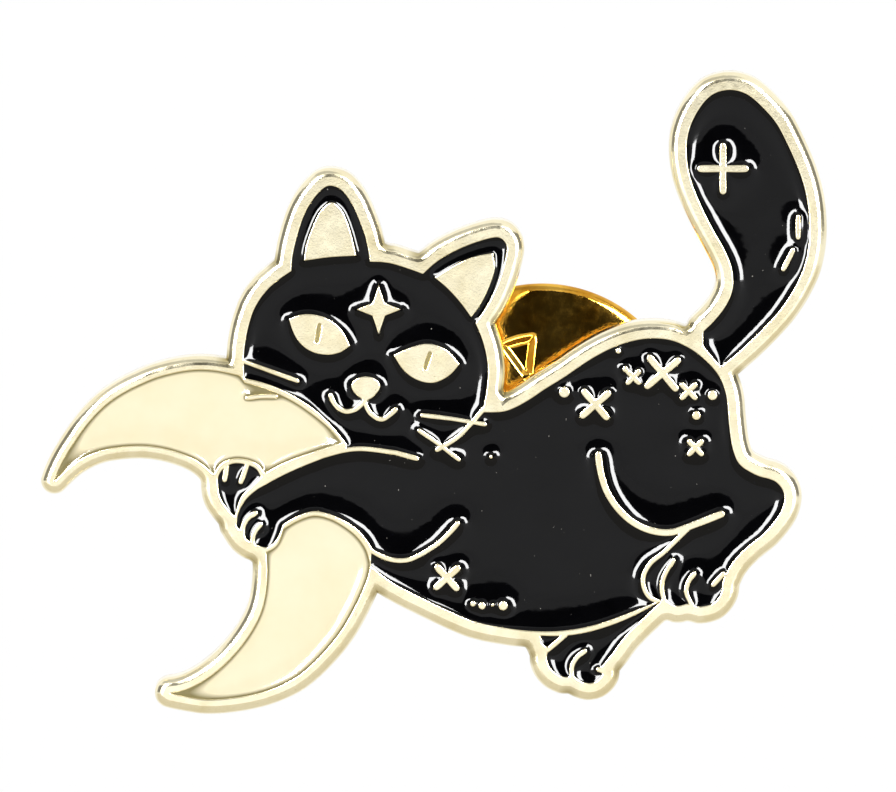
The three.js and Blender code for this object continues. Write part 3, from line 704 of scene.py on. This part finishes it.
def build_disc():
    """A stamped round sheet: a slightly domed face with six dimples, a curled rim and a collar."""
    steps = 288
    sheet = DISC_SHEET
    front = [(HOLE_RADIUS, 0.62), (HOLE_RADIUS, 0.2), (0.83, 0.09), (0.9, 0.03), (1.0, 0.0)]
    front += [(r, 0.0) for r in np.arange(1.2, 5.25, 0.1)]
    front += [(5.3, 0.005), (5.42, 0.02), (5.52, 0.06), (5.61, 0.14), (5.68, 0.25), (5.73, 0.4)]
    front += [(DISC_RADIUS, 0.6), (DISC_RADIUS, 0.76), (5.72, 0.87), (5.66, 0.93), (5.59, 0.95)]
    front += [(5.51, 0.93), (5.45, 0.86)]
    back = [(r, sheet) for r in np.arange(5.3, 1.5, -0.25)]
    back += [(1.4, sheet), (1.3, 0.38), (1.25, 0.46), (1.23, 0.56), (1.15, 0.62), (1.0, 0.64)]
    back += [(0.85, 0.64)]
    rows = []
    for place, (radius, y) in enumerate(front + back + [front[0]]):
        row = []
        behind = 0 if place < len(front) else sheet
        on_face = not behind and 1 < radius < 5 and y < 0.1
        dome = domed(radius, y - behind) if radius > 1 else 0
        for k in range(steps):
            angle = math.tau * k / steps
            u, v = radius * math.cos(angle), radius * math.sin(angle)
            struck = dimple_depth(u, v) * DIMPLE_DEPTH if on_face else 0
            row.append((u, y + dome + struck, v))
        rows.append(row)
    shell = Shell()
    shell.grid(rows, closed=True, flip=True)
    disc = shell.build("stamped_disc", BRASS, "clutch", "yellow_gold", 60, from_clutch)
    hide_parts("clutch_disc")


def bent_sheet(outlines, path, half, edge, spread):
    """A cut sheet with rounded edges, bent along path. outlines lie flat, as (distance along, across)."""
    shell = Shell()
    inner = [p for p in spread if times_inside(np.array([p]), outlines)[0] == 1]
    tree = wall_tree([smoothed(o, 0.05) for o in outlines])
    inner = [p for p in inner if tree.find((p[0], p[1], 0))[2] > 0.12]
    raised = [inset(o, edge) for o in outlines]
    shell.cap(raised, -half, True, lambda n: n == 1, inner)
    shell.cap(raised, half, False, lambda n: n == 1, inner)
    for outline in outlines:
        shell.grid(rounded_rows(outline, -half, half, edge, edge, 3), closed=True)
    knots = np.array(path)
    gaps = np.linalg.norm(np.diff(knots, axis=0), axis=1)
    at = np.concatenate([[0], np.cumsum(gaps)])

    def bend(points):
        along, lift, across = points[:, 0], points[:, 1], points[:, 2]
        spots, ways = [], []
        for s in along:
            k = int(np.clip(np.searchsorted(at, s) - 1, 0, len(gaps) - 1))
            way = (knots[k + 1] - knots[k]) / gaps[k]
            spots.append(knots[k] + way * (s - at[k]))
            ways.append(way)
        spots, ways = np.array(spots), np.array(ways)
        normal = np.stack([-ways[:, 1], ways[:, 0]], axis=1)
        moved = spots + normal * lift[:, None]
        return moved, across

    return shell, bend


def curved_path(knots, step=0.06):
    """A smooth open path through these knots, as closely spaced points."""
    points = [np.array(k, dtype=float) for k in knots]
    points = [2 * points[0] - points[1]] + points + [2 * points[-1] - points[-2]]
    path = []
    for a, b, c, d in zip(points, points[1:], points[2:], points[3:]):
        parts = max(2, math.ceil(np.linalg.norm(c - b) / step))
        for k in range(parts):
            t = k / parts
            path.append(0.5 * (2 * b + (c - a) * t + (2 * a - 5 * b + 4 * c - d) * t**2
                               + (3 * b - a - 3 * c + d) * t**3))
    path.append(points[-2])
    return path


def evenly(low, high, spacing):
    return np.linspace(low, high, max(2, round((high - low) / spacing) + 1))


def build_bridge():
    """The sheet that holds the wings: two cheeks and a top with a hole for the post."""
    cheek, top, bend_radius = 2.25, 2.8, 0.32
    corner = [(bend_radius * math.cos(t), bend_radius * math.sin(t)) for t in evenly(0, math.pi / 2, 0.2)]
    right = [(cheek, 0.37)] + [(cheek - bend_radius + c, top - bend_radius + s) for c, s in corner]
    path = right + [(-v, y) for v, y in reversed(right)]
    gaps = np.linalg.norm(np.diff(np.array(path), axis=0), axis=1)
    total = float(gaps.sum())
    reach, nick = 1.9, 0.25
    lower = [(0, nick - reach), (nick, -reach), (total - nick, -reach), (total, nick - reach)]
    upper = [(s, -u) for s, u in reversed(lower)]
    plan = np.array(lower + upper)
    outlines = [smoothed(densified(plan)), circle(total / 2, 0, HOLE_RADIUS, 48, -1)]
    spread = [(s, u) for s in evenly(0.1, total - 0.1, 0.09) for u in evenly(-1.8, 1.8, 0.3)]
    shell, bend = bent_sheet(outlines, path, 0.15, 0.05, spread)

    def placed(points):
        moved, across = bend(points)
        return from_clutch(np.stack([across, moved[:, 1], moved[:, 0]], axis=1))

    bridge = shell.build("clutch_saddle", BRASS, "clutch", "yellow_gold", 50, placed)
    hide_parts("clutch_bridge")


def densified(outline, step=0.3):
    """The same outline with more points on its straight runs."""
    points = []
    for start, end in zip(outline, np.roll(outline, -1, axis=0)):
        parts = max(1, round(float(np.linalg.norm(end - start)) / step))
        points += [start + (end - start) * k / parts for k in range(parts)]
    return np.array(points)


def build_wing(node, side):
    """One spring wing: the jaw beside the post, the fold, and the ear that fingers press."""
    path = curved_path([
        (0.73, 1.05), (0.73, 1.5), (0.98, 1.9), (1.5, 2.0), (2.3, 1.9), (3.1, 2.1), (4.3, 2.9), (5.1, 3.7),
        (5.45, 4.25),
    ])
    gaps = np.linalg.norm(np.diff(np.array(path), axis=0), axis=1)
    total = float(gaps.sum())
    neck, wide = 1.93, 2.68
    half = [(0, neck - 0.15), (0.15, neck), (2.3, neck)]
    half += curved_path([
        (2.5, neck), (3.0, wide - 0.25), (3.6, wide), (4.5, wide - 0.18), (5.3, wide - 0.75),
        (total - 0.4, wide - 1.35), (total - 0.15, 0.8), (total - 0.06, 0),
    ], 0.12)
    lower = [(s, -v) for s, v in half]
    upper = [(s, v) for s, v in reversed(half)]
    plan = np.array(lower + upper)
    outlines = [smoothed(densified(plan, 0.4))]
    spread = [(s, v) for s in evenly(0.08, total - 0.08, 0.1) for v in evenly(-2.6, 2.6, 0.35)]
    shell, bend = bent_sheet(outlines, path, 0.15, 0.06, spread)

    def placed(points):
        moved, across = bend(points)
        return from_clutch(np.stack([side * moved[:, 0], moved[:, 1], side * across], axis=1))

    wing = shell.build(node.replace("spring", "pressed"), BRASS, "wing_" + node.rsplit("_", 1)[1],
                       "yellow_gold", 50, placed)
    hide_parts(node)


build_disc()
build_bridge()
build_wing("spring_wing_right", 1)
build_wing("spring_wing_left", -1)


# ---------------------------------------------------------------- studio


def card(name, centre, size, strength, facing=(0, 0, 0), colour=(1, 1, 1), reflection_only=False):
    """A flat lit or dark sheet beside the set, unseen by the camera."""
    width, height = size
    corners = [(-width / 2, -height / 2, 0), (width / 2, -height / 2, 0), (width / 2, height / 2, 0),
               (-width / 2, height / 2, 0)]
    mesh = bpy.data.meshes.new(name)
    mesh.from_pydata(corners, [], [(0, 1, 2, 3)])
    material = bpy.data.materials.new(name)
    material.use_nodes = True
    tree = material.node_tree
    tree.nodes.clear()
    glow = tree.nodes.new("ShaderNodeEmission")
    glow.inputs["Color"].default_value = (*colour, 1)
    glow.inputs["Strength"].default_value = strength
    output = tree.nodes.new("ShaderNodeOutputMaterial")
    tree.links.new(glow.outputs[0], output.inputs[0])
    mesh.materials.append(material)
    made = bpy.data.objects.new(name, mesh)
    made.location = centre
    away = Vector(facing) - Vector(centre)
    made.rotation_euler = away.to_track_quat("Z", "Y").to_euler()
    made.visible_camera = False
    if reflection_only:
        made.visible_diffuse = False
        made.visible_shadow = False
    bpy.context.scene.collection.objects.link(made)
    return made


def around(azimuth, elevation, distance):
    """A place at this distance, seen from the pin. Azimuth 0 is straight in front and 90 to the right."""
    a, e = math.radians(azimuth), math.radians(elevation)
    level = distance * math.cos(e)
    return (level * math.sin(a), -level * math.cos(a), distance * math.sin(e))


FLOOR_Z = -0.03
CAMERA_ELEVATION = 5
CAMERA_DISTANCE = 0.6


def build_studio():
    scene = bpy.context.scene
    world = bpy.data.worlds.new("pale room")
    world.use_nodes = True
    background = world.node_tree.nodes["Background"]
    background.inputs["Color"].default_value = (1, 1, 1, 1)
    background.inputs["Strength"].default_value = 1.08
    scene.world = world
    scene.view_settings.view_transform = "Standard"

    floor_mesh = bpy.data.meshes.new("floor")
    reach = 4.0
    corners = [(-reach, -reach, 0), (reach, -reach, 0), (reach, reach, 0), (-reach, reach, 0)]
    floor_mesh.from_pydata(corners, [], [(0, 1, 2, 3)])
    floor = bpy.data.objects.new("floor", floor_mesh)
    floor.location = (0, 0, FLOOR_Z)
    paper = bpy.data.materials.new("white paper")
    paper.use_nodes = True
    shader = paper.node_tree.nodes["Principled BSDF"]
    shader.inputs["Base Color"].default_value = (0.93, 0.93, 0.93, 1)
    shader.inputs["Roughness"].default_value = 0.9
    shader.inputs["Specular IOR Level"].default_value = 0.1
    floor_mesh.materials.append(paper)
    scene.collection.objects.link(floor)

    dark_low, dark_high = -1.5, 34
    middle = (dark_low + dark_high) / 2
    height = 2 * 0.5 * math.tan(math.radians((dark_high - dark_low) / 2))
    card("dark card", around(0, middle, 0.5), (0.72, height), 0.03, reflection_only=True)
    card("front card", around(0, -11, 0.5), (0.72, 0.165), 1.06, reflection_only=True)
    card("low card", (0, -0.03, FLOOR_Z + 0.004), (0.2, 0.07), 0.8, (0, -0.03, 1), (1, 0.95, 0.84),
         reflection_only=True)
    card("high card", around(-35, 62, 0.5), (0.6, 0.3), 0.62, reflection_only=True)
    for name, side in (("left", -1), ("right", 1)):
        card("lamp " + name, around(side * 23, 12, 0.45), (0.09, 0.28), 60, reflection_only=True)
        card("dark wing " + name, around(side * 66, 10, 0.4), (0.34, 0.34), 0.25, reflection_only=True)

    camera_data = bpy.data.cameras.new("camera")
    camera_data.lens = 36 * CAMERA_DISTANCE / 0.03528
    camera_data.clip_start = 0.01
    camera = bpy.data.objects.new("camera", camera_data)
    aim = Vector((0.00059, 0, -0.00028))
    camera.location = aim + Vector(around(0, CAMERA_ELEVATION, CAMERA_DISTANCE))
    camera.rotation_euler = (aim - camera.location).to_track_quat("-Z", "Y").to_euler()
    scene.collection.objects.link(camera)
    scene.camera = camera


build_studio()
